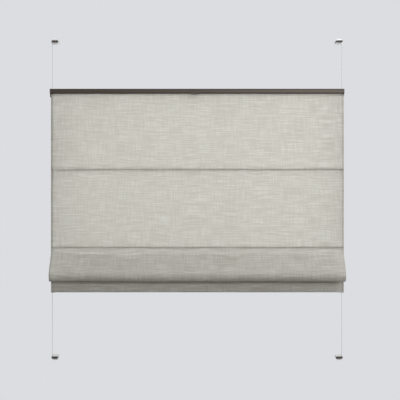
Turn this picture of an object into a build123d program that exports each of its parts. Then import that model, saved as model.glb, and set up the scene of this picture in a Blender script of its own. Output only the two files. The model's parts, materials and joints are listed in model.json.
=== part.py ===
from build123d import *
import os
from math import cos, radians, sin

# A roman blind that slides on two taut cords between four clamps.
# X runs across the blind, -Y points into the room and +Z is up, in millimetres.
# The clamps bear on the plane Y = 0, and Z = 0 is midway between the upper and lower cord shoes.

# Cords and the places along them
cord_inset = 6.0
cord_setback = 9.5
cord_diameter = 1.2
cord_clearance = 0.4
shoe_spacing = 971.2

# Head rail
rail_length = 900.0
rail_bottom_z = 322.8
rail_height = 15.0
rail_depth = 22.0
rail_setback = 2.5
rail_crown = 1.0
rail_wall = 1.3
rail_corner = 0.8
front_chamber_depth = 7.8
cap_thickness = 4.0
cap_leg_drop = 10.4
cap_leg_thickness = 3.0
cap_leg_depth = 12.5
cap_leg_setback = 5.0
cap_round = 2.0
plug_length = 14.0
plug_clearance = 0.1
plug_corner = 1.0
cap_leg_root = 1.0
guide_block_length = 26.0
guide_block_corner = 0.6
notch_length = 8.0
notch_shift = 2.5
notch_play = 0.5
cut_margin = 1.0

# Handle on the rail
handle_width = 23.0
handle_offset = -6.0
handle_wall = 1.6
handle_rise = 8.6
handle_reach = 5.0
handle_hook = 0.7
handle_round = 0.4
handle_bevel = 1.0
handle_top_wall = 0.4
handle_top_grip = 0.5
ledge_droop = 0.4
ledge_edge = 1.8
ledge_tangent = (1, 0.15)
clip_tangent = (0.1, 1)

# Cloth
cloth_thickness = 0.8
cloth_end_gap = 2.4
cloth_shift = 1.0
cloth_setback = 19.0
upper_panel_drop = 231.5
middle_panel_drop = 237.7
carrier_drop = 26.9
hem_drop = 111.3
slot_width = 3.0
tongue_inset = 14.0
tongue_side_gap = 2.0
tongue_end_play = 0.1
tongue_grip = 2.2
grip_play = 0.1
strip_height = 3.4
strip_play = 0.6
strip_corner = 0.5
tuck_radius = 2.0
lip_length = 1.0

# Forward fold under the middle panel
fold_flat_drop = 14.0
fold_slope = 52.0
fold_lean = 3.0
fold_shoulder_radius = 13.0
fold_slope_length = 36.0
fold_crest_radius = 32.0
fold_front_drop = 23.5
fold_bottom_radius = 3.5
fold_bottom_turn = 133.0
nest_gap = 0.3

# Battens, sleeves and their sliders
batten_diameter = 4.0
batten_end_gap = 4.0
batten_end_play = 0.2
sleeve_end_gap = 2.0
sleeve_clearance = 0.15
slider_length = 17.5
slider_eye_radius = 3.5
slider_eye_height = 8.0
slider_socket_radius = 3.3
slider_chamfer = 0.5
socket_clearance = 0.1

# Lower carrier
carrier_end_gap = 14.0
carrier_height = 10.0
carrier_depth = 10.0
carrier_wall = 1.2
carrier_corner = 0.8
keder_groove_radius = 2.1
keder_radius = 2.0
keder_mouth = 2.4
keder_mouth_overlap = 0.6
keder_gap = 0.1
keder_end_gap = 2.0
guide_height = 11.0
guide_depth = 10.0
guide_corner = 1.0
guide_round = 1.5

# Brakes in the rail ends and the carrier ends
brake_bore_radius = 2.2
brake_pad_radius = 2.1
brake_pad_length = 5.2
groove_depth = 0.5
groove_clearance = 0.1
pad_pin_length = 1.5
pad_pin_clearance = 0.1
spring_radius = 1.6
spring_wire = 0.4
spring_length = 5.6
spring_turns = 5
spring_end_play = 0.05

# Hem weight
weight_diameter = 4.0
weight_inset = 27.6
hem_turn_up = 14.0

# Clamps and shoes
plate_thickness = 1.2
bend_share = 0.9
pad_thickness = 0.8
pad_side_margin = 2.5
pad_bottom_margin = 0.8
pad_top_gap = 2.1
pad_corner = 2.0
plate_width = 21.4
leg_width = 19.0
leg_corner = 2.5
crown_width = 13.2
plate_leg_drop = 7.3
crown_rise = 6.4
jaw_depth = 16.0
jaw_back_drop = 12.0
shoe_width = 19.4
shoe_height = 4.7
shoe_front = 12.0
shoe_corner = 1.8
shoe_chamfer = 0.4
shoe_inset = 2.8
tongue_height = 2.0
tongue_length = 8.0
tongue_clearance = 0.1
ferrule_radius = 1.4
ferrule_length = 2.4
ferrule_clearance = 0.1
ferrule_recess = 0.2
ferrule_round = 0.4
screw_radius = 2.0
screw_length = 6.0
screw_tip_radius = 3.0
screw_tip_thickness = 1.2
screw_drop = 7.0
screw_proud = 1.0
thread_play = 0.02
hex_radius = 1.1
hex_depth = 2.0

# Places worked out from the sizes above
cord_x = rail_length / 2 - cord_inset
cord_radius = cord_diameter / 2
cord_bore_radius = cord_radius + cord_clearance
cord_y = -cord_setback
cloth_y = -cloth_setback
half_cloth = cloth_thickness / 2
rail_back_y = -rail_setback
rail_front_y = rail_back_y - rail_depth
rail_top_z = rail_bottom_z + rail_height
rail_end_x = rail_length / 2 - cap_thickness
cloth_width = rail_length - 2 * cloth_end_gap
tongue_width = rail_length - 2 * tongue_inset
batten_length = 2 * (cord_x - batten_end_gap)
slider_inner_x = cord_x + slider_eye_radius - slider_length
sleeve_length = 2 * (slider_inner_x - sleeve_end_gap)
carrier_end_x = cord_x - carrier_end_gap
weight_length = cloth_width - 2 * weight_inset
seam_1_z = rail_bottom_z - upper_panel_drop
seam_2_z = seam_1_z - middle_panel_drop
carrier_z = seam_2_z - carrier_drop
hem_bottom_z = carrier_z - hem_drop
tuck_y = cloth_y + tuck_radius
lip_end_y = tuck_y + lip_length
shoe_z = shoe_spacing / 2
shoe_x = cord_x + shoe_inset - shoe_width / 2
plate_back_y = -pad_thickness
plate_front_y = plate_back_y - plate_thickness
seat_z = shoe_z + shoe_height / 2 + crown_rise - plate_thickness
chamber_bottom_z = rail_bottom_z + rail_wall
chamber_height = rail_height - 2 * rail_wall
front_chamber_y = cloth_y
rear_chamber_front_y = front_chamber_y + front_chamber_depth / 2 + rail_wall
rear_chamber_depth = rail_back_y - rail_wall - rear_chamber_front_y
carrier_front_y = cord_y - carrier_depth / 2
keder_y = carrier_front_y + carrier_wall + keder_groove_radius

side_profile = Plane.YZ

os.makedirs("parts", exist_ok=True)


def save(name, part):
    part.label = name
    export_step(part, f"parts/{name}.step")


def save_pair(name, right_part):
    """Write a right-hand piece and its mirror image at the left."""
    save(f"{name}_right", right_part)
    save(f"{name}_left", right_part.mirror(Plane.YZ))


def at_corner(part, side, end):
    """Carry a piece made for the upper right corner to another corner."""
    if side < 0:
        part = part.mirror(Plane.YZ)
    if end < 0:
        part = part.mirror(Plane.XY)
    return part


corners = {
    "top_left": (-1, 1),
    "top_right": (1, 1),
    "bottom_left": (-1, -1),
    "bottom_right": (1, -1),
}

# Clamp bracket: one strip of sheet folded over into a jaw, cut to its outline
front_outline = [
    (shoe_x - leg_width / 2, shoe_z - shoe_height / 2 - plate_leg_drop),
    (shoe_x + leg_width / 2, shoe_z - shoe_height / 2 - plate_leg_drop),
    (shoe_x + plate_width / 2, shoe_z - shoe_height / 2),
    (shoe_x + plate_width / 2, shoe_z + shoe_height / 2),
    (shoe_x + crown_width / 2, seat_z + plate_thickness),
    (shoe_x - crown_width / 2, seat_z + plate_thickness),
    (shoe_x - plate_width / 2, shoe_z + shoe_height / 2),
    (shoe_x - plate_width / 2, shoe_z - shoe_height / 2),
]
plate_bottom_z = shoe_z - shoe_height / 2 - plate_leg_drop
hook_back_y = jaw_depth + plate_thickness
hook_bottom_z = seat_z - jaw_back_drop
screw_z = seat_z - screw_drop
with BuildPart() as clamp_bracket:
    with BuildSketch(side_profile.offset(shoe_x)):
        with BuildLine():
            Polyline(
                (plate_front_y, plate_bottom_z),
                (plate_front_y, seat_z + plate_thickness),
                (hook_back_y, seat_z + plate_thickness),
                (hook_back_y, hook_bottom_z),
                (jaw_depth, hook_bottom_z),
                (jaw_depth, seat_z),
                (plate_back_y, seat_z),
                (plate_back_y, plate_bottom_z),
                close=True,
            )
        make_face()
    extrude(amount=plate_width / 2, both=True)
    bends = clamp_bracket.edges().filter_by(Axis.X).group_by(Axis.Z)[-1]
    fillet(bends, plate_thickness * bend_share)
    with BuildSketch(Plane.XZ.offset(-hook_back_y)):
        with BuildLine():
            Polyline(*front_outline, close=True)
        make_face()
    extrude(amount=hook_back_y - plate_front_y, mode=Mode.INTERSECT)
    leg_corners = clamp_bracket.edges().filter_by(Axis.Y).group_by(Axis.Z)[0]
    fillet(leg_corners, leg_corner)
    # slot for the shoe's tongue
    with BuildSketch(Plane.XZ.offset(-plate_back_y)):
        with Locations((shoe_x, shoe_z)):
            Rectangle(tongue_length + 2 * tongue_clearance, tongue_height + 2 * tongue_clearance)
    extrude(amount=plate_thickness, mode=Mode.SUBTRACT)
    # threaded hole for the clamp screw in the back hook
    with BuildSketch(Plane.XZ.offset(-hook_back_y)):
        with Locations((shoe_x, screw_z)):
            Circle(screw_radius)
    extrude(amount=plate_thickness, mode=Mode.SUBTRACT)

# Clamp screw with a swivel pressure tip inside the jaw
screw_back_y = hook_back_y + screw_proud
with BuildPart() as clamp_screw:
    with BuildSketch(Plane.XZ.offset(-screw_back_y)):
        with Locations((shoe_x, screw_z)):
            Circle(screw_radius - thread_play)
    extrude(amount=screw_length)
    with BuildSketch(Plane.XZ.offset(-screw_back_y)):
        with Locations((shoe_x, screw_z)):
            RegularPolygon(hex_radius, 6)
    extrude(amount=hex_depth, mode=Mode.SUBTRACT)
    with BuildSketch(Plane.XZ.offset(-(screw_back_y - screw_length + screw_tip_thickness))):
        with Locations((shoe_x, screw_z)):
            Circle(screw_tip_radius)
    extrude(amount=screw_tip_thickness)

# Soft lining of the clamp's front leg, under the slot for the shoe's tongue
pad_bottom_z = plate_bottom_z + pad_bottom_margin
pad_top_z = shoe_z - tongue_height / 2 - tongue_clearance - pad_top_gap
with BuildPart() as clamp_pad:
    with BuildSketch(Plane.XZ):
        with Locations((shoe_x, (pad_bottom_z + pad_top_z) / 2)):
            RectangleRounded(leg_width - 2 * pad_side_margin, pad_top_z - pad_bottom_z, pad_corner)
    extrude(amount=pad_thickness)

# Cord shoe: clips through the plate with a tongue and anchors the cord's end
with BuildPart() as cord_shoe:
    with BuildSketch(Plane.XY.offset(shoe_z - shoe_height / 2)):
        with Locations((shoe_x, (plate_front_y - shoe_front) / 2)):
            Rectangle(shoe_width, shoe_front + plate_front_y)
    extrude(amount=shoe_height)
    fillet(cord_shoe.edges().filter_by(Axis.Z).group_by(Axis.Y)[0], shoe_corner)
    chamfer(cord_shoe.faces().sort_by(Axis.Y)[0].edges().filter_by(Axis.X), shoe_chamfer)
    with BuildSketch(Plane.XZ.offset(-plate_back_y)):
        with Locations((shoe_x, shoe_z)):
            Rectangle(tongue_length, tongue_height)
    extrude(amount=plate_thickness)
    with Locations((cord_x, cord_y, shoe_z + shoe_height / 2)):
        CounterBoreHole(cord_bore_radius, ferrule_radius + ferrule_clearance, ferrule_length)

# Crimped ferrule that stops the cord in its shoe
ferrule_z = shoe_z + shoe_height / 2 - ferrule_length
with BuildPart() as cord_ferrule:
    with BuildSketch(Plane.XY.offset(ferrule_z)):
        with Locations((cord_x, cord_y)):
            Circle(ferrule_radius)
    extrude(amount=ferrule_length - ferrule_recess)
    fillet(cord_ferrule.faces().sort_by(Axis.Z)[-1].edges(), ferrule_round)

for corner, (side, end) in corners.items():
    save(f"clamp_bracket_{corner}", at_corner(clamp_bracket.part, side, end))
    save(f"cord_shoe_{corner}", at_corner(cord_shoe.part, side, end))
for name, piece in (
    ("clamp_screws", clamp_screw),
    ("clamp_pads", clamp_pad),
    ("cord_ferrules", cord_ferrule),
):
    save(name, Compound([at_corner(piece.part, *place) for place in corners.values()]))

# Taut cord from ferrule to ferrule
with BuildPart() as tension_cord:
    with BuildSketch(Plane.XY.offset(-ferrule_z)):
        with Locations((cord_x, cord_y)):
            Circle(cord_radius)
    extrude(amount=2 * ferrule_z)
save_pair("tension_cord", tension_cord.part)


# The head rail's outer section, with its gently crowned front, drawn across Y and Z
front_edge_y = rail_front_y + rail_crown
with BuildSketch() as rail_outline:
    with BuildLine():
        Polyline(
            (front_edge_y, rail_bottom_z),
            (rail_back_y, rail_bottom_z),
            (rail_back_y, rail_top_z),
            (front_edge_y, rail_top_z),
        )
        ThreePointArc(
            (front_edge_y, rail_top_z),
            (rail_front_y, rail_bottom_z + rail_height / 2),
            (front_edge_y, rail_bottom_z),
        )
    make_face()
    fillet(rail_outline.vertices(), rail_corner)

# Head rail extrusion: a front chamber for the cloth and a rear chamber for the guides
chamber_mid_z = chamber_bottom_z + chamber_height / 2
rear_chamber_y = rear_chamber_front_y + rear_chamber_depth / 2
with BuildPart() as head_rail:
    with BuildSketch(side_profile):
        add(rail_outline.sketch)
        with Locations((front_chamber_y, chamber_mid_z)):
            Rectangle(front_chamber_depth, chamber_height, mode=Mode.SUBTRACT)
        with Locations((rear_chamber_y, chamber_mid_z)):
            Rectangle(rear_chamber_depth, chamber_height, mode=Mode.SUBTRACT)
        with Locations((cloth_y, rail_bottom_z + rail_wall / 2)):
            Rectangle(slot_width, rail_wall + cut_margin, mode=Mode.SUBTRACT)
    extrude(amount=rail_end_x, both=True)
    # open notches where the cords pass the ends
    for side in (1, -1):
        with BuildSketch(Plane.XY.offset(rail_bottom_z - cut_margin)):
            with Locations((side * (cord_x + notch_shift), cord_y)):
                SlotOverall(notch_length, 2 * (cord_bore_radius + notch_play))
        extrude(amount=rail_height + 2 * cut_margin, mode=Mode.SUBTRACT)
save("head_rail", head_rail.part)

# Clip strip that holds the cloth in the front chamber
strip_width = front_chamber_depth - strip_play
with BuildPart() as cloth_strip:
    with BuildSketch(side_profile):
        with Locations((front_chamber_y, chamber_bottom_z + strip_height / 2)):
            RectangleRounded(strip_width, strip_height, strip_corner)
        with Locations((cloth_y, chamber_bottom_z + tongue_grip / 2)):
            Rectangle(cloth_thickness + 2 * grip_play, tongue_grip, mode=Mode.SUBTRACT)
    extrude(amount=tongue_width / 2, both=True)
save("cloth_strip", cloth_strip.part)

# End cap: plate over the rail's end, plug in the front chamber and a short leg below
with BuildPart() as end_cap:
    with BuildSketch(side_profile.offset(rail_end_x)):
        add(rail_outline.sketch)
    extrude(amount=cap_thickness)
    with BuildSketch(side_profile.offset(rail_length / 2 - cap_leg_thickness)):
        with Locations((-cap_leg_setback, rail_bottom_z - cap_leg_drop)):
            Rectangle(cap_leg_depth, cap_leg_drop + cap_leg_root, align=(Align.MAX, Align.MIN))
    extrude(amount=cap_leg_thickness)
    outer_edges = end_cap.faces().sort_by(Axis.X)[-1].edges().group_by(Axis.Z)[0]
    fillet(outer_edges, cap_round)
    with BuildSketch(side_profile.offset(rail_end_x)):
        with Locations((front_chamber_y, chamber_mid_z + strip_height / 2)):
            RectangleRounded(
                front_chamber_depth - 2 * plug_clearance,
                chamber_height - strip_height - 2 * plug_clearance,
                plug_corner,
            )
    extrude(amount=-plug_length)
save_pair("rail_end_cap", end_cap.part)

# Handle: clips round the rail's lower front edge and carries a short finger ledge
handle_bottom_z = rail_bottom_z - handle_wall
handle_top_z = rail_bottom_z + handle_rise
handle_front_y = rail_front_y - handle_wall
hook_y = cloth_y - slot_width / 2 - handle_hook
hook_top_z = rail_bottom_z + rail_wall / 2
grip_y = rail_front_y + rail_crown + handle_top_grip
ledge_y = handle_front_y - handle_reach
ledge_bottom_z = handle_bottom_z - ledge_droop
ledge_top = (ledge_y, ledge_bottom_z + ledge_edge)
clip_shoulder = (handle_front_y, handle_top_z - handle_bevel)
with BuildPart() as handle:
    with BuildSketch(side_profile.offset(handle_offset)):
        with BuildLine():
            Polyline(
                (hook_y, hook_top_z),
                (hook_y, handle_bottom_z),
                (rail_front_y, handle_bottom_z),
                (ledge_y, ledge_bottom_z),
                ledge_top,
            )
            Spline(ledge_top, clip_shoulder, tangents=[ledge_tangent, clip_tangent])
            Polyline(
                clip_shoulder,
                (rail_front_y - handle_top_wall, handle_top_z),
                (grip_y, handle_top_z),
                (grip_y, hook_top_z),
                (hook_y, hook_top_z),
            )
        make_face()
        add(rail_outline.sketch, mode=Mode.SUBTRACT)
    extrude(amount=handle_width / 2, both=True)
    fillet(handle.edges().filter_by(Axis.Z), handle_round)
save("handle", handle.part)

# Guide block in the rail's rear chamber, with the cord's bore and the brake's bore
guide_inner_x = rail_end_x - guide_block_length
brake_face_x = cord_x - cord_radius - groove_clearance
pad_back_x = brake_face_x - brake_pad_length
spring_seat_x = pad_back_x - spring_length


def guide_bores(z):
    """The cord's bore and the brake's blind bore that are cut from a guide at this height."""
    with BuildPart() as bores:
        with BuildSketch(Plane.XY.offset(z - rail_height)):
            with Locations((cord_x, cord_y)):
                Circle(cord_bore_radius)
        extrude(amount=2 * rail_height)
        with BuildSketch(side_profile.offset(spring_seat_x)):
            with Locations((cord_y, z)):
                Circle(brake_bore_radius)
        extrude(amount=cord_x - spring_seat_x)
    return bores.part


with BuildPart() as cord_guide:
    with BuildSketch(side_profile.offset(guide_inner_x)):
        with Locations((rear_chamber_y, chamber_mid_z)):
            RectangleRounded(
                rear_chamber_depth - 2 * plug_clearance,
                chamber_height - 2 * plug_clearance,
                guide_block_corner,
            )
    extrude(amount=guide_block_length)
    add(guide_bores(chamber_mid_z), mode=Mode.SUBTRACT)
save_pair("rail_cord_guide", cord_guide.part)


def brake_pad_at(z):
    """A plunger whose grooved face rests on the cord."""
    with BuildPart() as pad:
        with BuildSketch(side_profile.offset(pad_back_x)):
            with Locations((cord_y, z)):
                Circle(brake_pad_radius)
        extrude(amount=brake_pad_length + groove_depth)
        with BuildSketch(side_profile.offset(pad_back_x)):
            with Locations((cord_y, z)):
                Circle(spring_radius - spring_wire - pad_pin_clearance)
        extrude(amount=-pad_pin_length)
        with BuildSketch(Plane.XY.offset(z - rail_height)):
            with Locations((cord_x, cord_y)):
                Circle(cord_radius + groove_clearance)
        extrude(amount=2 * rail_height, mode=Mode.SUBTRACT)
    return pad.part


def brake_spring_at(z):
    """A compression spring between the bore's end and the plunger."""
    coil_length = spring_length - spring_wire - 2 * spring_end_play
    coil_start = spring_seat_x + spring_wire / 2 + spring_end_play
    pitch = coil_length / spring_turns
    with BuildPart() as spring:
        with BuildLine() as path:
            Helix(
                pitch,
                coil_length,
                spring_radius - spring_wire / 2,
                center=(coil_start, cord_y, z),
                direction=(1, 0, 0),
            )
        with BuildSketch(path.line ^ 0):
            Circle(spring_wire / 2)
        sweep(path=path.line, is_frenet=True)
    return spring.part


save_pair("rail_brake_pad", brake_pad_at(chamber_mid_z))
save_pair("rail_brake_spring", brake_spring_at(chamber_mid_z))

# Battens in their sleeves, with a slider at each end
batten_radius = batten_diameter / 2
sleeve_inner = batten_radius + sleeve_clearance
sleeve_outer = sleeve_inner + cloth_thickness
for number, seam_z in ((1, seam_1_z), (2, seam_2_z)):
    with BuildPart() as batten:
        with BuildSketch(side_profile):
            with Locations((cord_y, seam_z)):
                Circle(batten_radius)
        extrude(amount=batten_length / 2, both=True)
    save(f"batten_{number}", batten.part)

    with BuildPart() as sleeve:
        with BuildSketch(side_profile):
            with Locations((cord_y, seam_z)):
                Circle(sleeve_outer)
            with Locations(((lip_end_y + cord_y) / 2, seam_z)):
                Rectangle(cord_y - lip_end_y, 2 * cloth_thickness)
            with Locations((cord_y, seam_z)):
                Circle(sleeve_inner, mode=Mode.SUBTRACT)
        extrude(amount=sleeve_length / 2, both=True)
    save(f"batten_sleeve_{number}", sleeve.part)

    with BuildPart() as slider:
        with BuildSketch(side_profile.offset(slider_inner_x)):
            with Locations((cord_y, seam_z)):
                Circle(slider_socket_radius)
        extrude(amount=cord_x - slider_inner_x)
        with Locations((cord_x, cord_y, seam_z)):
            Cylinder(slider_eye_radius, slider_eye_height)
        chamfer(slider.faces().filter_by(Axis.Z).edges().filter_by(GeomType.CIRCLE), slider_chamfer)
        with BuildSketch(side_profile.offset(slider_inner_x)):
            with Locations((cord_y, seam_z)):
                Circle(batten_radius + socket_clearance)
        extrude(amount=batten_length / 2 + batten_end_play - slider_inner_x, mode=Mode.SUBTRACT)
        with Locations((cord_x, cord_y, seam_z)):
            Hole(cord_bore_radius, slider_eye_height * 2)
    save_pair(f"batten_{number}_slider", slider.part)

# Cloth panels: each hangs from one seam and ends in a lip that is tucked back to the next
cloth_plane = side_profile.offset(cloth_shift)


# upper panel, with a narrower tongue that rises into the rail
panel_top_z = rail_bottom_z - nest_gap
upper_lip_z = seam_1_z + half_cloth
with BuildPart() as upper_panel:
    with BuildSketch(cloth_plane):
        with BuildLine():
            lip = Line((lip_end_y, upper_lip_z), (tuck_y, upper_lip_z))
            turn = JernArc(lip @ 1, (-1, 0), tuck_radius, -90)
            Line(turn @ 1, (cloth_y, panel_top_z))
        trace(line_width=cloth_thickness)
    extrude(amount=cloth_width / 2, both=True)
    tongue_top_z = chamber_bottom_z + tongue_grip - tongue_end_play
    with BuildSketch(side_profile):
        with Locations((cloth_y, (panel_top_z + tongue_top_z) / 2)):
            Rectangle(cloth_thickness, tongue_top_z - panel_top_z)
    extrude(amount=tongue_width / 2 - tongue_side_gap, both=True)
save("upper_panel", upper_panel.part)

with BuildPart() as middle_panel:
    with BuildSketch(cloth_plane):
        with BuildLine():
            lip = Line((lip_end_y, seam_1_z - half_cloth), (tuck_y, seam_1_z - half_cloth))
            top = JernArc(lip @ 1, (-1, 0), tuck_radius, 90)
            face = Line(top @ 1, (cloth_y, seam_2_z + half_cloth + tuck_radius))
            turn = JernArc(face @ 1, (0, -1), tuck_radius, 90)
            Line(turn @ 1, (lip_end_y, seam_2_z + half_cloth))
        trace(line_width=cloth_thickness)
    extrude(amount=cloth_width / 2, both=True)
save("middle_panel", middle_panel.part)


def heading(angle):
    """Unit direction in the side profile, in degrees forwards from straight down."""
    return (-sin(radians(angle)), -cos(radians(angle)))


def guide_notches():
    """The blocks cut from the cloth's lips where the carrier's guides stand."""
    with BuildPart() as notches:
        for side in (1, -1):
            with Locations((side * (carrier_end_x - nest_gap), carrier_front_y - nest_gap, carrier_z)):
                Box(
                    cloth_width,
                    guide_depth,
                    guide_height,
                    align=(Align.MIN if side > 0 else Align.MAX, Align.MIN, Align.CENTER),
                )
    return notches.part


# forward fold: a flat start, a slope, a rounded crest, a hanging front and a return behind it
carrier_lip_end_y = keder_y - keder_radius - keder_gap
return_radius = tuck_radius + cloth_thickness + nest_gap
fold_lip_z = carrier_z + half_cloth
with BuildPart() as fold_panel:
    with BuildSketch(cloth_plane):
        with BuildLine():
            lip = Line((lip_end_y, seam_2_z - half_cloth), (tuck_y, seam_2_z - half_cloth))
            top = JernArc(lip @ 1, (-1, 0), tuck_radius, 90)
            flat = Line(top @ 1, (top @ 1) - Vector(0, fold_flat_drop))
            shoulder = JernArc(flat @ 1, heading(0), fold_shoulder_radius, -fold_slope)
            slope = Line(shoulder @ 1, (shoulder @ 1) + fold_slope_length * Vector(*heading(fold_slope)))
            crest_turn = fold_slope + fold_lean
            crest = JernArc(slope @ 1, heading(fold_slope), fold_crest_radius, crest_turn)
            front = Line(crest @ 1, (crest @ 1) + fold_front_drop * Vector(*heading(-fold_lean)))
            bottom = JernArc(front @ 1, heading(-fold_lean), fold_bottom_radius, fold_bottom_turn)
            return_top = (tuck_y - return_radius, fold_lip_z - return_radius)
            Spline(bottom @ 1, return_top, tangents=[bottom % 1, (0, 1)])
            turn = JernArc(return_top, (0, 1), return_radius, -90)
            Line(turn @ 1, (carrier_lip_end_y, fold_lip_z))
        trace(line_width=cloth_thickness)
    extrude(amount=cloth_width / 2, both=True)
    add(guide_notches(), mode=Mode.SUBTRACT)
save("fold_panel", fold_panel.part)

# hem panel, turned up round the weight rod
weight_radius = weight_diameter / 2
hem_loop_outer = weight_radius + sleeve_clearance + cloth_thickness
hem_axis_y = cloth_y - half_cloth + hem_loop_outer
hem_axis_z = hem_bottom_z + hem_loop_outer
with BuildPart() as hem_panel:
    with BuildSketch(cloth_plane):
        with BuildLine():
            lip_z = carrier_z - half_cloth
            lip = Line((carrier_lip_end_y, lip_z), (tuck_y, lip_z))
            top = JernArc(lip @ 1, (-1, 0), tuck_radius, 90)
            Line(top @ 1, (cloth_y, hem_axis_z))
        trace(line_width=cloth_thickness)
        with Locations((hem_axis_y, hem_axis_z)):
            Circle(hem_loop_outer)
            Circle(hem_loop_outer - cloth_thickness, mode=Mode.SUBTRACT)
        with Locations((cloth_y + cloth_thickness, hem_axis_z + hem_loop_outer / 2 + hem_turn_up / 2)):
            Rectangle(cloth_thickness, hem_turn_up)
    extrude(amount=cloth_width / 2, both=True)
    add(guide_notches(), mode=Mode.SUBTRACT)
save("hem_panel", hem_panel.part)

with BuildPart() as weight_rod:
    with BuildSketch(cloth_plane):
        with Locations((hem_axis_y, hem_axis_z)):
            Circle(weight_radius)
    extrude(amount=weight_length / 2, both=True)
save("weight_rod", weight_rod.part)

# Lower carrier: a slim extrusion with a round groove for the cloth's beaded strip
rear_room = carrier_depth - 2 * carrier_wall - 2 * keder_groove_radius - carrier_wall
carrier_back_y = carrier_front_y + carrier_depth
rear_room_y = carrier_back_y - carrier_wall - rear_room / 2
with BuildPart() as carrier_rail:
    with BuildSketch(side_profile) as carrier_section:
        with Locations((cord_y, carrier_z)):
            Rectangle(carrier_depth, carrier_height)
        fillet(carrier_section.vertices(), carrier_corner)
        with Locations((keder_y, carrier_z)):
            Circle(keder_groove_radius, mode=Mode.SUBTRACT)
        with Locations((carrier_front_y, carrier_z)):
            Rectangle(2 * (carrier_wall + keder_mouth_overlap), keder_mouth, mode=Mode.SUBTRACT)
        with Locations((rear_room_y, carrier_z)):
            Rectangle(rear_room, carrier_height - 2 * carrier_wall, mode=Mode.SUBTRACT)
    extrude(amount=carrier_end_x, both=True)
save("carrier_rail", carrier_rail.part)

with BuildPart() as keder_strip:
    with BuildSketch(side_profile):
        with Locations((keder_y, carrier_z)):
            Circle(keder_radius)
    extrude(amount=carrier_end_x - keder_end_gap, both=True)
save("keder_strip", keder_strip.part)

# Carrier guide: seats on the extrusion's end, plugs into its rear room and rides on the cord
guide_outer_x = cord_x + slider_eye_radius
with BuildPart() as carrier_guide:
    with BuildSketch(side_profile.offset(carrier_end_x)):
        with Locations((cord_y, carrier_z)):
            RectangleRounded(guide_depth, guide_height, guide_corner)
    extrude(amount=guide_outer_x - carrier_end_x)
    fillet(carrier_guide.faces().sort_by(Axis.X)[-1].edges().filter_by(Axis.Z), guide_round)
    with BuildSketch(side_profile.offset(carrier_end_x)):
        with Locations((rear_room_y, carrier_z)):
            Rectangle(rear_room - 2 * plug_clearance, carrier_height - 2 * carrier_wall - 2 * plug_clearance)
    extrude(amount=-plug_length)
    add(guide_bores(carrier_z), mode=Mode.SUBTRACT)
save_pair("carrier_guide", carrier_guide.part)
save_pair("carrier_brake_pad", brake_pad_at(carrier_z))
save_pair("carrier_brake_spring", brake_spring_at(carrier_z))
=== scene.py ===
# %% [markdown]
# This lesson dresses a roman blind that slides on two taut cords. The solids come from the packed
# model, and they stay where they are: Blender adds cloth, cords, stitches and finishes to them. X
# runs across the blind, -Y into the room and +Z up. Lengths are in metres, but the side views of
# the cloth are drawn in millimetres and multiplied by mm.

# %% Load the solids
import json
import math

import bpy
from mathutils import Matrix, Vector, noise


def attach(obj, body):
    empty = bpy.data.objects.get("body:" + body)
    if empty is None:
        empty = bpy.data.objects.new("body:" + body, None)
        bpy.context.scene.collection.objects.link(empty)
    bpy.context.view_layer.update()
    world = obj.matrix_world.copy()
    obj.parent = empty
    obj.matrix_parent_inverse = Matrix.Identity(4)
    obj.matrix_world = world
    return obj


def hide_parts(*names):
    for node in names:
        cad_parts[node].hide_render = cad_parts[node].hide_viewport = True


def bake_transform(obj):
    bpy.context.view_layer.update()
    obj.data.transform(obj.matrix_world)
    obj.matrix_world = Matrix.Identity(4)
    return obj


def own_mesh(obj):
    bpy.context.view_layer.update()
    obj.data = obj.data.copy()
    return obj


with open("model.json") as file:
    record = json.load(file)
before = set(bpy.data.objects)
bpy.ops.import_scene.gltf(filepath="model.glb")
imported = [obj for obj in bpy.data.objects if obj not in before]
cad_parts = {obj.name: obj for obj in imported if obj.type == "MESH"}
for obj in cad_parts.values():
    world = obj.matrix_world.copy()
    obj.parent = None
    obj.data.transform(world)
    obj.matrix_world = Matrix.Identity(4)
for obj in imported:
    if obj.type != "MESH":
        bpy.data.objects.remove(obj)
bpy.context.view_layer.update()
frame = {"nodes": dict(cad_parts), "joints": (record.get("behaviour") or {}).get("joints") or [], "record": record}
mm = 0.001

# %% [markdown]
# The photographer stood level with the middle of the blind and looked straight at it. A camera can
# be turned to suit, but a level one keeps the rail and the cords parallel to the picture's edges,
# so only its place and its lens are set here. Depth of field stays off.

# %% Camera
SENSOR, LENS = 36.0, 83.85
CAMERA_TO_CLOTH = 2.85


def placed(name, data):
    """A new object in the scene that shows this data."""
    made = bpy.data.objects.new(name, data)
    bpy.context.scene.collection.objects.link(made)
    return made


camera_data = bpy.data.cameras.new("camera")
camera_data.sensor_width = SENSOR
camera_data.lens = LENS
camera = placed("camera", camera_data)
camera.location = (0.0089, -2.869, -0.002)
camera.rotation_euler = (math.radians(90), 0, 0)
bpy.context.scene.camera = camera
bpy.context.scene.view_settings.view_transform = "Standard"
print("frame width at the cloth", round(SENSOR / LENS * CAMERA_TO_CLOTH, 3))

# %% [markdown]
# Two thin cords run from the upper shoes to the lower ones, and the whole blind rides on them. A
# cord can be a thin cylinder, but a curve with a round bevel keeps its real centre line, so its
# length can be measured. Each one is taut, so its few points lie on one line.

# %% Tension cords
CORD_X, CORD_Y, CORD_END, CORD_WIDTH = 0.444, -0.0095, 0.48555, 0.0012
IN_SHOE = 0.012


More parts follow.
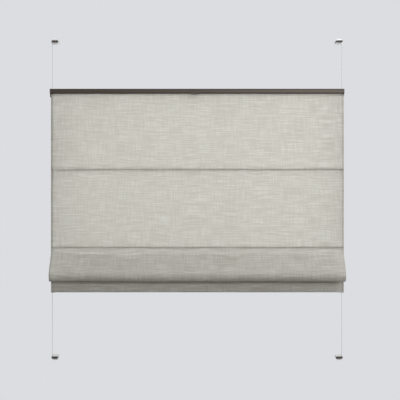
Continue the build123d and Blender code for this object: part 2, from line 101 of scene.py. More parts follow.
def taut_cord(side, x):
    """A straight NURBS cord between the upper and the lower shoe at x."""
    data = bpy.data.curves.new(f"cord_{side}", "CURVE")
    data.dimensions = "3D"
    line = data.splines.new("NURBS")
    heights = [CORD_END, CORD_END - IN_SHOE, 0.0, IN_SHOE - CORD_END, -CORD_END]
    line.points.add(len(heights) - 1)
    for point, z in zip(line.points, heights):
        point.co = (x, CORD_Y, z, 1)
        point.radius = CORD_WIDTH / 2
    line.order_u = 3
    line.use_endpoint_u = True
    data.bevel_depth = 1.0
    data.bevel_resolution = 3
    cord = placed(f"cord_{side}", data)
    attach(cord, "fixings")
    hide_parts(f"tension_cord_{side}")
    return cord


cords = [taut_cord("left", -CORD_X), taut_cord("right", CORD_X)]
print("cords", [c.name for c in cords], "length", 2 * CORD_END)

# %% [markdown]
# The cloth hangs in panels that meet in narrow tucks, and each panel is one sheet. A sheet can be
# a plane that a simulation bends, but this cloth is held straight by its battens, so its side view
# decides its shape. The side view is drawn as a trail: go straight, bend, go straight again. The
# heading is an angle forwards from straight down, as a tailor would follow the cloth from its top.

# %% Trails in the side view
BEND_STEP, STRAIGHT_STEP = 11, 6  # degrees and millimetres between two points


def heading(angle):
    """Unit step in (y, z) for an angle in degrees, forwards from straight down."""
    return Vector((-math.sin(math.radians(angle)), -math.cos(math.radians(angle))))


def trail(start, angle, *moves):
    """Points in millimetres along straights (a number) and bends (radius, turn in degrees)."""
    points = [Vector(start)]
    for move in moves:
        if isinstance(move, tuple):
            radius, turn = move
            steps = max(3, round(abs(turn) / BEND_STEP))
            chord = 2 * radius * math.sin(math.radians(abs(turn)) / steps / 2)
            for _ in range(steps):
                angle += turn / steps / 2
                points.append(points[-1] + chord * heading(angle))
                angle += turn / steps / 2
        else:
            steps = max(1, round(move / STRAIGHT_STEP))
            begin = points[-1]
            points += [begin + move * (i + 1) / steps * heading(angle) for i in range(steps)]
    return points


print("down is", list(heading(0)), "and a quarter bend has", len(trail((0, 0), 0, (2, 90))), "points")

# %% [markdown]
# Five trails give the whole cloth. The upper and the middle panel hang straight, roll forward a
# little above a seam and run back to the batten in a tuck. The panel below a seam starts with the
# same tuck and rests slightly behind its own face. Below the second seam the front of the fold
# leans forward and curls under, and its return swings back up to the carrier. That last run has no
# fixed radius, so it is eased between two headings. The hem panel hangs from the carrier, goes
# round the weight rod and up again behind itself.

# %% Side view of the cloth
CLOTH_Y, SEAM_1, SEAM_2, CARRIER_Z = -19.0, 91.3, -146.4, -173.3
TOP_Z, TUCK_END_Y, HEM_TOP_Y = 326.0, -16.0, -13.3
RETURN_Y, RETURN_Z, RETURN_BEND = -20.1, -176.0, 3.1
TUCK, HALF = 2.0, 0.4  # the bend of a tuck and half of the groove between two tucks
ROLL, ROLL_TURN = 80.0, 10.0
REST, REST_TURN = 80.0, 6.0
CURL_HEADING = -136
ROD_LOOP = 2.55


def s_bend(radius, turn):
    """How far out and down a bend and its opposite lead."""
    angle = math.radians(turn)
    return 2 * radius * (1 - math.cos(angle)), 2 * radius * math.sin(angle)


def eased(start, start_angle, end, end_angle, steps=22):
    """Points along a smooth run between two places with given headings."""
    a, b = Vector(start), Vector(end)
    reach = (b - a).length
    ta, tb = reach * heading(start_angle), reach * heading(end_angle)
    points = []
    for i in range(1, steps + 1):
        t = i / steps
        points.append(
            (2 * t**3 - 3 * t**2 + 1) * a
            + (t**3 - 2 * t**2 + t) * ta
            + (3 * t**2 - 2 * t**3) * b
            + (t**3 - t**2) * tb
        )
    return points


roll_out, roll_down = s_bend(ROLL, ROLL_TURN)
rest_out, rest_down = s_bend(REST, REST_TURN)
roll = [(ROLL, ROLL_TURN), (ROLL, -ROLL_TURN), (TUCK, -90), 1.0 + roll_out]
rest = [1.0 - rest_out, (TUCK, -90), (REST, REST_TURN), (REST, -REST_TURN)]
upper_straight = TOP_Z - SEAM_1 - HALF - TUCK - roll_down
middle_straight = SEAM_1 - SEAM_2 - 2 * (HALF + TUCK) - rest_down - roll_down
upper_line = trail((CLOTH_Y, TOP_Z), 0, upper_straight, *roll)
middle_line = trail((TUCK_END_Y, SEAM_1 - HALF), 90, *rest, middle_straight, *roll)
lean = [2.0, (30.0, 8), 8.0, (16.0, 30), 59.9]
curl = [(20.0, -93), (6.0, -81)]
front_line = trail((TUCK_END_Y, SEAM_2 - HALF), 90, 1.0, (TUCK, -90), *lean, *curl)
return_line = [front_line[-1]]
return_line += eased(front_line[-1], CURL_HEADING, (RETURN_Y, RETURN_Z), -180)
return_line += trail(return_line[-1], -180, (RETURN_BEND, 90), 3.7)[1:]
round_rod = [(ROD_LOOP, -180), (ROD_LOOP, -98), (1.2, 98)]
hem_line = trail((HEM_TOP_Y, CARRIER_Z - HALF), 90, 3.0, (TUCK, -90), 105.95, *round_rod, 38.0)
for label, line in (("upper", upper_line), ("front", front_line), ("hem", hem_line)):
    print(label, "ends at", [round(v, 2) for v in line[-1]])

# %% [markdown]
# Real linen is never quite straight. Its seams wander by about a millimetre and droop at their
# ends, and the face between them is not quite flat. A texture could fake that in the shading, but
# then the outline would stay too clean, so the sheet's own points move. Smooth noise with fixed
# places gives the same cloth at each run.

# %% Wander of the seams and the face
CLOTH_LEFT, CLOTH_RIGHT = -0.4466, 0.4486


def ease(t):
    """0 below 0, 1 above 1 and a smooth step between them."""
    t = min(1.0, max(0.0, t))
    return t * t * (3 - 2 * t)


def end_share(x, reach):
    """0 in the middle of the cloth, rising to 1 at its side edges within reach."""
    middle, half = (CLOTH_LEFT + CLOTH_RIGHT) / 2, (CLOTH_RIGHT - CLOTH_LEFT) / 2
    return ease((abs(x - middle) - half + reach) / reach)


def seam_wander(x, seed):
    """How far a seam lies above its straight line at x."""
    slow = noise.noise(Vector((x * 5, seed, 0.5)))
    quick = noise.noise(Vector((x * 21, seed + 7, 0.5)))
    return mm * (1.1 * slow + 0.4 * quick - 1.3 * end_share(x, 0.035))


def fold_wander(x):
    """How far the fold's lower edge lies above its straight line at x."""
    slow = noise.noise(Vector((x * 4, 3.1, 0.2)))
    return mm * (1.6 * slow - 1.2 * end_share(x, 0.06))


def hem_wander(x):
    """The hem droops only beside the ends of its weight rod."""
    return mm * (0.1 * noise.noise(Vector((x * 9, 5.5, 0.2))) - 1.0 * end_share(x, 0.024))


def face_wander(x, s, seed):
    """How far the cloth's face bellies out at a place on it."""
    slow = noise.noise(Vector((x * 4.2, s * 9, seed)))
    quick = noise.noise(Vector((x * 17, s * 30, seed + 3)))
    return mm * (0.22 * slow + 0.06 * quick)


print("seam wander", [round(seam_wander(x / 10, 1.0) / mm, 2) for x in range(-4, 5)])

# %% [markdown]
# A panel is now a grid: the trail gives its rows and the width gives its columns. At each side the
# cloth is turned under by six millimetres and lies on its own back, so the first and last columns
# run behind the others. A second layer of mesh could do the same, but one bent sheet also has the
# right soft edge and the right flat width.

# %% Columns across the cloth
SIDE_HEM, LAYER, SIDE_BEND = 0.006, 0.0009, 0.45 * mm
INNER_STEPS = 112


def columns():
    """(x, how far behind the face, place across the flat cloth) for each column."""
    left = [
        (CLOTH_LEFT + SIDE_HEM, LAYER),
        (CLOTH_LEFT + 2 * mm, LAYER),
        (CLOTH_LEFT + SIDE_BEND, LAYER),
        (CLOTH_LEFT, LAYER / 2),
        (CLOTH_LEFT + SIDE_BEND, 0.0),
    ]
    right = [(CLOTH_LEFT + CLOTH_RIGHT - x, back) for x, back in reversed(left)]
    between = [
        (CLOTH_LEFT + SIDE_BEND + (CLOTH_RIGHT - CLOTH_LEFT - 2 * SIDE_BEND) * i / INNER_STEPS, 0.0)
        for i in range(1, INNER_STEPS)
    ]
    row = left + between + right
    place, out = 0.0, []
    for i, (x, back) in enumerate(row):
        if i:
            place += math.hypot(x - row[i - 1][0], back - row[i - 1][1])
        out.append((x, back, place))
    return out


print("columns", len(columns()), "flat width", round(columns()[-1][2], 4))

# %% [markdown]
# A place down the cloth is a distance along its trail, as a tape measure would give it. So each
# trail is measured once, and any distance can then be turned into a point and a direction.

# %% Places along a trail


def measured(line):
    """Distance of each point from the line's first point."""
    places = [0.0]
    for a, b in zip(line, line[1:]):
        places.append(places[-1] + (b - a).length)
    return places


def spot(line, places, s):
    """Place and heading on a line of points at a distance s along it."""
    i = 0
    while i < len(line) - 2 and places[i + 1] < s:
        i += 1
    share = (s - places[i]) / (places[i + 1] - places[i])
    step = line[i + 1] - line[i]
    return line[i] + share * step, step.normalized()


print("the upper trail is", round(measured(upper_line)[-1], 1), "millimetres long")

# %% [markdown]
# A grid of points becomes a sheet of linen in the same way each time, so that is a function. Each
# point brings its place on the flat cloth, in metres, so that the weave keeps its scale and travels
# with the cloth when a panel gathers. Solidify thickens the sheet equally to both sides.

# %% A mesh of linen


def grid_faces(rows, wide, flipped=False):
    """Quads between the points of a grid; flipped ones face the other way."""
    faces = []
    for i in range(rows - 1):
        for j in range(wide - 1):
            a = i * wide + j
            b, c, d = a + 1, a + wide + 1, a + wide
            faces.append((a, d, c, b) if flipped else (a, b, c, d))
    return faces


def linen_sheet(name, verts, uvs, faces, thickness):
    """A sheet of linen with its place on the flat cloth at each point."""
    mesh = bpy.data.meshes.new(name)
    mesh.from_pydata(verts, [], faces)
    layer = mesh.uv_layers.new(name="flat_cloth")
    for loop in mesh.loops:
        layer.data[loop.index].uv = uvs[loop.vertex_index]
    mesh.shade_smooth()
    sheet = placed(name, mesh)
    thick = sheet.modifiers.new("thickness", "SOLIDIFY")
    thick.thickness = thickness
    thick.offset = 0
    return sheet


print("a grid of 3 by 4 points has", len(grid_faces(3, 4)), "faces")

# %% [markdown]
# A panel's points are found on its trail and then moved by the wander of the face, which fades out
# near both ends, and by the wander of its seams. The same function can place a stitch on the cloth
# later, so it is returned with the sheet.

# %% Sheets of cloth
CLOTH_THICKNESS = 0.0008
FREE_REACH = 0.02


def cloth_sheet(name, line, lift, seed, s_start=0.0, narrow=None):
    """A sheet that follows line in the side view; lift(x, s, length) raises its points."""
    line = [point * mm for point in line]
    places = measured(line)
    length = places[-1]

    def on_cloth(x, s, back=0.0):
        """A point of the sheet at x and s, some way behind its middle."""
        point, step = spot(line, places, s)
        behind = Vector((-step.y, step.x))
        free = ease(min(s, length - s) / FREE_REACH)
        y, z = point + behind * (back + free * face_wander(x, s_start + s, seed))
        z += lift(x, s, length)
        if narrow:
            x, y = narrow(x, y, s)
        return Vector((x, y, z))

    cols = columns()
    width = cols[-1][2]
    verts = [on_cloth(x, s, back) for s in places for x, back, _ in cols]
    uvs = [(across, s_start + s) for s in places for _, _, across in cols]
    sheet = linen_sheet(name, verts, uvs, grid_faces(len(line), len(cols)), CLOTH_THICKNESS)
    print(name, "rows", len(line), "length", round(length, 4), "width", round(width, 4))
    return sheet, length, width, on_cloth


# %% [markdown]
# A side hem is held by a row of small stitches. They could be a bump in the finish, but close up
# a stitch is a thread that stands on the cloth and dives into it at both ends. Each one is a short
# tube that is thinner and deeper at its ends.

# %% One stitch
THREAD, STITCH_SIDES = 0.21 * mm, 6
# Each ring of a stitch: its share of the length, its height and its width, both in thread radii.
STITCH_RINGS = ((0, -0.5, 0.6), (0.16, 0.5, 0.95), (0.5, 0.9, 1), (0.84, 0.5, 0.95), (1, -0.5, 0.6))


def add_stitch(verts, faces, start, end, out):
    """One stitch from start to end, on the side of the cloth that out points to."""
    aside = (end - start).normalized().cross(out).normalized()
    first = len(verts)
    for share, rise, thin in STITCH_RINGS:
        centre = start.lerp(end, share) + out * (CLOTH_THICKNESS / 2 + rise * THREAD)
        for k in range(STITCH_SIDES):
            turn = 2 * math.pi * k / STITCH_SIDES
            verts.append(centre + THREAD * thin * (math.cos(turn) * aside + math.sin(turn) * out))
    last = len(verts) - STITCH_SIDES
    for ring in range(first, last, STITCH_SIDES):
        for k in range(STITCH_SIDES):
            a = ring + k
            b = ring + (k + 1) % STITCH_SIDES
            faces.append((a, b, b + STITCH_SIDES, a + STITCH_SIDES))
    faces.append(tuple(first + k for k in reversed(range(STITCH_SIDES))))
    faces.append(tuple(last + k for k in range(STITCH_SIDES)))


print("a stitch has", STITCH_SIDES * len(STITCH_RINGS), "points")

# %% [markdown]
# A row of stitches is spread evenly over its length, and all the rows of one panel are one mesh,
# because more than a thousand single objects would be slow to handle. The rows of the side hems ask the
# cloth where it is, so they follow every bend of it.

# %% Rows of stitches
STITCH, STITCH_PITCH, HEM_ROW = 2.5 * mm, 3.7 * mm, 4.6 * mm
all_stitches = []


def stitch_piece(name, rows):
    """Rows of stitches; a row is (place at distance t, length, side of the cloth)."""
    verts, faces = [], []
    for place, length, side in rows:
        count = int((length - STITCH) / STITCH_PITCH)
        spare = (length - STITCH - count * STITCH_PITCH) / 2
        for i in range(count + 1):
            t = spare + i * STITCH_PITCH
            out = side if isinstance(side, Vector) else side(t + STITCH / 2)
            add_stitch(verts, faces, place(t), place(t + STITCH), out)
    mesh = bpy.data.meshes.new(name)
    mesh.from_pydata(verts, [], faces)
    mesh.shade_smooth()
    piece = placed(name, mesh)
    all_stitches.append(piece)
    print(name, "stitches", len(verts) // (STITCH_SIDES * len(STITCH_RINGS)))
    return piece


def side_rows(on_cloth, s_from, s_to):
    """The rows of both side hems between two places on a sheet."""
    rows = []
    for x in (CLOTH_LEFT + HEM_ROW, CLOTH_RIGHT - HEM_ROW):
        def place(t, x=x):
            return on_cloth(x, s_from + t)

        def out(t, x=x):
            here, there = on_cloth(x, s_from + t), on_cloth(x, s_from + t, -1 * mm)
            return (there - here).normalized()

        rows.append((place, s_to - s_from, out))
    return rows


# %% [markdown]
# The upper panel hangs in the head rail's slot, and its top edge is a little narrower there so
# that it clears the end caps. It ends in a tuck that runs back to the first batten. When the blind
# is gathered, real cloth would crumple between the rail and the batten. Here the share of the
# panel's drop that the batten's travel and a little spare would take is worked out, but nothing
# squashes the panel: it and its stitches only get meshes of their own.

# %% Upper panel
RAIL_Z = 0.3228
FADE = 0.05
SPARE = 1.8 * mm
IN_SLOT, SLOT_FADE, NARROWER = 3.4 * mm, 0.5 * mm, 0.0303


def hold_lower(wander):
    """Lift that fades in over the last centimetres of a sheet."""
    return lambda x, s, length: wander(x) * ease(1 - (length - s) / FADE)


def rail_clear(x, y, s):
    """Draws the cloth's sides in where it enters the rail."""
    share = 1 - ease((s - IN_SLOT) / SLOT_FADE)
    middle = (CLOTH_LEFT + CLOTH_RIGHT) / 2
    return middle * (1 - share) + (x - middle) * (1 - NARROWER * share), y


upper, upper_length, full_width, on_upper = cloth_sheet(
    "upper_cloth", upper_line, hold_lower(lambda x: seam_wander(x, 1.0)), seed=1.0, narrow=rail_clear
)
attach(upper, "head_rail")
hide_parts("upper_panel")
upper_stitches = stitch_piece("upper_stitches", side_rows(on_upper, 6 * mm, upper_length - 6 * mm))
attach(upper_stitches, "head_rail")
travel = {j["name"]: j["range_m"] for j in frame["joints"]}
drop = RAIL_Z - SEAM_1 * mm
for piece in (upper, upper_stitches):
    1 - (travel["first_batten_lift"][1] + SPARE) / drop
    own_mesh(piece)

# %% [markdown]
# The middle panel has a tuck at both ends, because a batten holds it above and below. Its upper
# seam wanders in step with the panel above it, so the dark groove between them keeps its width. A
# line just below that seam and the share of the drop that the batten's travel would take are
# worked out, but nothing squashes the panel: it and its stitches only get meshes of their own.

# %% Middle panel
BELOW_SEAM = 2.4


def hold_both(upper_wander, lower_wander):
    """Lift at both ends of a sheet, with each end's own wander."""

    def lift(x, s, length):
        return upper_wander(x) * ease(1 - s / FADE) + lower_wander(x) * ease(1 - (length - s) / FADE)

    return lift


middle, middle_length, _, on_middle = cloth_sheet(
    "middle_cloth",
    middle_line,
    hold_both(lambda x: seam_wander(x, 1.0), lambda x: seam_wander(x, 2.0)),
    seed=2.0,
    s_start=upper_length,
)
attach(middle, "first_batten")
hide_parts("middle_panel")
middle_stitches = stitch_piece("middle_stitches", side_rows(on_middle, 6 * mm, middle_length - 6 * mm))
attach(middle_stitches, "first_batten")
top = (SEAM_1 - BELOW_SEAM) * mm
drop = top - SEAM_2 * mm
for piece in (middle, middle_stitches):
    1 - (travel["second_batten_lift"][1] + SPARE) / drop
    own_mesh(piece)

# %% [markdown]
# Below the second batten the cloth comes forward in one fold and runs back up to the lower
# carrier. One sheet could cover it all, but a blend weighs a point by its place along one line, and
# the front and the return need opposite lines. So it is two sheets that meet under the fold. Both
# stay where they are drawn, and no body is tied to them here.

# %% Front of the fold
EDGE_FADE = 0.09


def fold_front_lift(x, s, length):
    """The seam's wander at the top and the fold's own at its lower edge."""
    return seam_wander(x, 2.0) * ease(1 - s / FADE) + fold_wander(x) * ease(1 - (length - s) / EDGE_FADE)


front, front_length, _, on_front = cloth_sheet(
    "fold_front", front_line, fold_front_lift, seed=3.0, s_start=upper_length + middle_length
)
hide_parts("fold_panel")
front_stitches = stitch_piece("fold_front_stitches", side_rows(on_front, 6 * mm, front_length - 1 * mm))
for piece in (front, front_stitches):
    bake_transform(piece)

# %% [markdown]
# The return starts where the front ends, with the same wander, and stands straight by the time it
# reaches the carrier. There its lip would run into the carrier's guides at both ends, so it stays
# in front of them.

# %% Return of the fold
GUIDE_FRONT, GUIDE_INNER = -0.0149, 0.4296
RETURN_FADE = 0.06


def fold_return_lift(x, s, length):
    """The fold's wander where the return starts, fading out on its way up."""
    return fold_wander(x) * ease(1 - s / RETURN_FADE)


def guide_clear(x, y, s):
    """Keeps the cloth's lip in front of the carrier's guides."""
    return x, min(y, GUIDE_FRONT) if abs(x) > GUIDE_INNER else y


back, back_length, _, on_return = cloth_sheet(
    "fold_return",
    return_line,
    fold_return_lift,
    seed=3.5,
    s_start=upper_length + middle_length + front_length,
    narrow=guide_clear,
)
return_stitches = stitch_piece("fold_return_stitches", side_rows(on_return, 2 * mm, back_length - 8 * mm))
for piece in (back, return_stitches):
    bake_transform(piece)

# %% [markdown]
# The hem panel peeks out under the fold. Its lower end is turned round a steel rod, which keeps
# the blind straight, and sewn up behind. The turn-up reaches as high as the visible strip, so that
# strip is double. One row of stitches across the panel holds it, besides those of the side hems.

# %% Hem panel
HEM_START = 0.9  # its place on the flat cloth, well below the other panels
ROD_PLACE, ROD_FADE = 0.117, 0.03
FACE_LENGTH, SEWN_UP = 6 * mm + 106 * mm, 34 * mm
ROW_END = 8 * mm


def hem_lift(x, s, length):
    """The hem's wander from just above the rod to the end of the turn-up."""
    return hem_wander(x) * ease(1 - max(0.0, ROD_PLACE - s) / ROD_FADE)


hem, hem_length, _, on_hem = cloth_sheet(
    "hem_cloth", hem_line, hem_lift, seed=4.0, s_start=HEM_START, narrow=guide_clear
)
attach(hem, "lower_carrier")
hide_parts("hem_panel")
hem_rows = side_rows(on_hem, ROW_END, 110 * mm)
hem_rows.append(
    (
        lambda t: on_hem(CLOTH_LEFT + ROW_END + t, FACE_LENGTH - SEWN_UP),
        CLOTH_RIGHT - CLOTH_LEFT - 2 * ROW_END,
        Vector((0, -1, 0)),
    )
)
hem_stitches = stitch_piece("hem_stitches", hem_rows)
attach(hem_stitches, "lower_carrier")

# %% [markdown]
# Behind each seam a strip of the same linen is folded round the batten and sewn to the tucks. It
# is a sheet too. In the side view it runs back in a narrow neck, round the batten in a loop and
# forward again, and only the neck wanders with the seam, because the batten itself is straight.

# %% Side view of a batten sleeve
BATTEN_Y, SLEEVE_LOOP, NECK, NECK_LENGTH = -9.5, 2.55, 0.39, 3.9
LOOP_STEPS = 32


def sleeve_line(seam_z):
    """A sleeve's points in metres: back along the neck, round the loop and forward again."""
    line = trail((-15.9, seam_z + NECK), -90, NECK_LENGTH)
    centre = Vector((BATTEN_Y, seam_z))
    begin = math.asin(NECK / SLEEVE_LOOP)
    for i in range(LOOP_STEPS + 1):
        angle = math.pi - begin - (2 * math.pi - 2 * begin) * i / LOOP_STEPS
        line.append(centre + SLEEVE_LOOP * Vector((math.cos(angle), math.sin(angle))))
    line += trail((-12.0, seam_z - NECK), 90, NECK_LENGTH)
    return [point * mm for point in line]


print("sleeve points", len(sleeve_line(SEAM_1)))

# %% [markdown]
# Both sleeves are made alike, each with two rows of stitches, one on either side of its neck. A
# sleeve rides on its batten. It is a little thinner than the panels, so that it fits their tucks.

# %% Batten sleeves
SLEEVE_HALF, SLEEVE_STEPS, SLEEVE_THICKNESS = 0.428, 96, 0.76 * mm
NECK_BACK, NECK_FADE = -0.0125, 0.003
SEWN_Y, SEWN_END = -0.0138, 4 * mm


def neck_rows(seam_z, number):
    """The rows of stitches above and below a sleeve's neck."""
    rows = []
    for side in (1, -1):
        def place(t, side=side):
            x = t - SLEEVE_HALF + SEWN_END
            return Vector((x, SEWN_Y, (seam_z + side * NECK) * mm + seam_wander(x, float(number))))

        rows.append((place, 2 * SLEEVE_HALF - 2 * SEWN_END, Vector((0, 0, side))))
    return rows


def batten_sleeve(number, seam_z, body):
    """The sleeve of one batten and its stitches."""
    points = sleeve_line(seam_z)
    places = measured(points)
    across = [-SLEEVE_HALF + 2 * SLEEVE_HALF * i / SLEEVE_STEPS for i in range(SLEEVE_STEPS + 1)]
    verts, uvs = [], []
    for point, place in zip(points, places):
        neck = ease((NECK_BACK - point.x) / NECK_FADE)
        for x in across:
            verts.append((x, point.x, point.y + neck * seam_wander(x, float(number))))
            uvs.append((x, place))
    faces = grid_faces(len(points), len(across), flipped=True)
    sleeve = linen_sheet(f"sleeve_cloth_{number}", verts, uvs, faces, SLEEVE_THICKNESS)
    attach(sleeve, body)
    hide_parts(f"batten_sleeve_{number}")
    neck_stitches = stitch_piece(f"neck_stitches_{number}", neck_rows(seam_z, number))
    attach(neck_stitches, body)
    print(sleeve.name, "loop and neck", round(places[-1], 4))
    return sleeve


sleeves = [batten_sleeve(1, SEAM_1, "first_batten"), batten_sleeve(2, SEAM_2, "second_batten")]

# %% [markdown]
# Finishes come next. A finish is a small network of nodes, and its sums read best as plain Python,
# so one class wraps a socket: adding or multiplying wrapped sockets makes Math nodes. Any other
# node comes from its method node(), which takes the type, the settings and the sockets.

# %% A socket that does sums


class Wire:
    """A socket in a node tree. Python's operators on it add Math nodes."""

    def __init__(self, tree, socket=None):
        self.tree, self.socket = tree, socket

    def node(self, kind, settings=None, sockets=None, out=0):
        """A new node, and a wire from its output out."""
        made = self.tree.nodes.new(kind)
        for key, value in (settings or {}).items():
            if key == "stops":
                stops = made.color_ramp.elements
                while len(stops) < len(value):
                    stops.new(1.0)
                for stop, (place, colour) in zip(stops, value):
                    stop.position, stop.color = place, colour
            else:
                setattr(made, key, value)
        for key, value in (sockets or {}).items():
            if isinstance(value, Wire):
                self.tree.links.new(value.socket, made.inputs[key])
            else:
                made.inputs[key].default_value = value
        return Wire(self.tree, made.outputs[out] if made.outputs else None)

    def sum(self, operation, a, b):
        """A Math node on two wires or numbers."""
        return self.node("ShaderNodeMath", {"operation": operation}, {0: a, 1: b})

    def __add__(self, other):
        return self.sum("ADD", self, other)

    __radd__ = __add__

    def __mul__(self, other):
        return self.sum("MULTIPLY", self, other)

    __rmul__ = __mul__

    def __sub__(self, other):
        return self.sum("SUBTRACT", self, other)

    def __rsub__(self, other):
        return self.sum("SUBTRACT", other, self)


# %% [markdown]
# Every finish below is built from the same few steps, so each step is a function. The first ones
# turn a picture's colour from 0 to 255 into linear light, start an empty network and find the place
# on the object.

# %% Starting a finish


def rgb(red, green, blue):
    """A colour as it is read from a picture, 0 to 255, in linear light."""

    def linear(v):
        v /= 255
        return v / 12.92 if v <= 0.04045 else ((v + 0.055) / 1.055) ** 2.4

    return (linear(red), linear(green), linear(blue), 1.0)


def new_finish(name):
    """An empty material with a wire that starts its network."""
    material = bpy.data.materials.new(name)
    material.use_nodes = True
    material.node_tree.nodes.clear()
    return material, Wire(material.node_tree)


def solid_finish(name):
    """A new finish, its wire and the place on the object it covers."""
    material, wire = new_finish(name)
    return material, wire, wire.node("ShaderNodeTexCoord", None, None, out=3)


print("colour of the linen", [round(v, 3) for v in rgb(196, 194, 186)])

# %% [markdown]
# In between, a network mixes two colours, stretches a place, draws noise and tilts the normal. At
# the end a Principled shader becomes the surface.

# %% Steps of a finish


def mixed(wire, factor, a, b):
    """Colour a where factor is 0 and b where it is 1. A Mix node's colour sockets are 6 and 7."""
    return wire.node("ShaderNodeMix", {"data_type": "RGBA"}, {0: factor, 6: a, 7: b}, out=2)


def stretched(wire, place, scale):
    """A place multiplied along each axis."""
    return wire.node("ShaderNodeVectorMath", {"operation": "MULTIPLY"}, {0: place, 1: scale})


def noisy(wire, place, scale, detail=2.0, roughness=0.5):
    """Smooth noise from 0 to 1 at a place."""
    return wire.node(
        "ShaderNodeTexNoise",
        None,
        {"Vector": place, "Scale": scale, "Detail": detail, "Roughness": roughness},
    )


def bumped(wire, height, distance, strength=1.0):
    """A normal that is tilted by a height."""
    return wire.node("ShaderNodeBump", None, {"Strength": strength, "Distance": distance, "Height": height})


def show(wire, shader):
    """Makes a shader the surface of its material."""
    wire.node("ShaderNodeOutputMaterial", None, {"Surface": shader})


def surface(wire, sockets):
    """A Principled shader with these sockets as the surface of its material."""
    show(wire, wire.node("ShaderNodeBsdfPrincipled", None, sockets))


def describe(*materials):
    """Prints how many nodes each material has."""
    for material in materials:
        print(material.name, len(material.node_tree.nodes), "nodes")


# %% [markdown]
# The linen is a loose, slubby weave: here and there a thread is thicker and lighter, across and
# down, which gives the fine cross-hatch in the picture. Stretched noise makes such threads, in
# both directions on the flat cloth. A slow noise bends their paths a little, because such yarn
# never runs quite straight.

# %% Threads of the linen
linen, wire = new_finish("slub_linen")
flat = wire.node("ShaderNodeUVMap", {"uv_map": "flat_cloth"})
drift = wire.node("ShaderNodeTexNoise", None, {"Vector": flat, "Scale": 9.0, "Detail": 1.0}, out=1)
hand = wire.node(
    "ShaderNodeVectorMath", {"operation": "MULTIPLY_ADD"}, {0: drift, 1: (0.012, 0.016, 0), 2: flat}
)
weft_slub = 0.5 * noisy(wire, stretched(wire, hand, (10, 340, 1)), 1.0, 0.0)
weft_slub += 0.5 * noisy(wire, stretched(wire, hand, (24, 270, 2)), 1.0, 0.0)
warp_slub = 0.5 * noisy(wire, stretched(wire, hand, (360, 14, 1)), 1.0, 0.0)
warp_slub += 0.5 * noisy(wire, stretched(wire, hand, (290, 26, 2)), 1.0, 0.0)
weft_thread = noisy(wire, stretched(wire, hand, (60, 1000, 1)), 1.0, 1.0, 0.6)
warp_thread = noisy(wire, stretched(wire, hand, (1000, 60, 1)), 1.0, 1.0, 0.6)
cloudy = noisy(wire, flat, 14.0)
slub = 0.46 * weft_slub + 0.26 * warp_slub + 0.16 * weft_thread + 0.12 * warp_thread
describe(linen)

# %% [markdown]
# The slubs choose the shade, and a cloudy noise tints it a little warmer or greener. The weave
# itself is a pair of wave patterns in the bump. Light also shines through: the single panels glow,
# while the fold and the doubled hem have more cloth behind them and look darker. That is what the
# mix with a translucent shader is for, and a thick thread lets less light through.

# %% Linen


def weave(direction):
    """Fine bands along one axis of the flat cloth."""
    return wire.node(
        "ShaderNodeTexWave",
        {"wave_type": "BANDS", "bands_direction": direction},
        {"Vector": flat, "Scale": 420.0, "Distortion": 1.5, "Detail": 1.0, "Detail Scale": 0.4},
        out=1,
    )


shade = wire.node(
    "ShaderNodeValToRGB",
    {"stops": [(0.41, rgb(188, 185, 177)), (0.5, rgb(205, 203, 196)), (0.59, rgb(232, 232, 228))]},
    {0: slub},
)
tint = wire.node(
    "ShaderNodeValToRGB",
    {"stops": [(0.35, rgb(207, 201, 192)), (0.65, rgb(203, 207, 200))]},
    {0: cloudy},
)
height = 0.3 * weave("Y") + 0.3 * weave("X") + 0.8 * slub
cloth_shader = wire.node(
    "ShaderNodeBsdfPrincipled",
    None,
    {
        "Base Color": mixed(wire, 0.15, shade, tint),
        "Roughness": 0.9,
        "Specular IOR Level": 0.2,
        "Sheen Weight": 0.1,
        "Sheen Roughness": 0.5,
        "Normal": bumped(wire, height, 0.35 * mm, 0.6),
    },
)
glow = wire.node("ShaderNodeBsdfTranslucent", None, {"Color": (0.86, 0.85, 0.80, 1)})
show(wire, wire.node("ShaderNodeMixShader", None, {0: 0.56 - 0.14 * slub, 1: cloth_shader, 2: glow}))
sheets = [upper, middle, front, back, hem] + sleeves
for sheet in sheets:
    sheet.data.materials.append(linen)
describe(linen)
print("linen on", [sheet.name for sheet in sheets])

# %% [markdown]
# The thread is spun from the same flax but twisted hard, so it is smoother and a little lighter.
# Slanting bands stand for its twist.

# %% Sewing thread
thread, wire, place = solid_finish("linen_thread")
twist = wire.node(
    "ShaderNodeTexWave",
    {"wave_type": "BANDS", "bands_direction": "DIAGONAL"},
    {"Vector": place, "Scale": 700.0, "Distortion": 0.4},
    out=1,
)
surface(
    wire,
    {
        "Base Color": mixed(wire, twist, rgb(180, 177, 167), rgb(214, 212, 204)),
        "Roughness": 0.7,
        "Normal": bumped(wire, twist, 0.05 * mm, 0.6),
    },
)
for piece in all_stitches:
    piece.data.materials.append(thread)
describe(thread)
print("thread on", len(all_stitches), "pieces")

# %% [markdown]
# Bronze anodised aluminium is drawn through a die, so its grain runs along X. Long streaks of
# noise move its roughness a little, and a fine grain keeps the reflection soft.

# %% Bronze aluminium
bronze, wire, place = solid_finish("bronze_anodised")
grain = noisy(wire, stretched(wire, place, (6, 900, 900)), 1.0, 3.0)
fine = noisy(wire, place, 2600.0, 1.0)
worn = noisy(wire, place, 9.0, 3.0)
tone = 0.6 * grain + 0.4 * worn
surface(
    wire,
    {
        "Base Color": mixed(wire, tone, (0.043, 0.031, 0.024, 1), (0.067, 0.052, 0.043, 1)),
        "Metallic": 0.55,
        "Roughness": 0.34 + 0.12 * grain,
        "Normal": bumped(wire, 0.7 * grain + 0.3 * fine, 0.05 * mm, 0.35),
    },
)
describe(bronze)

# %% [markdown]
# The end caps, shoes, guides and handle are moulded in bronze plastic. It is matt and a little
# darker than the metal, with the fine spark-eroded texture of its mould.

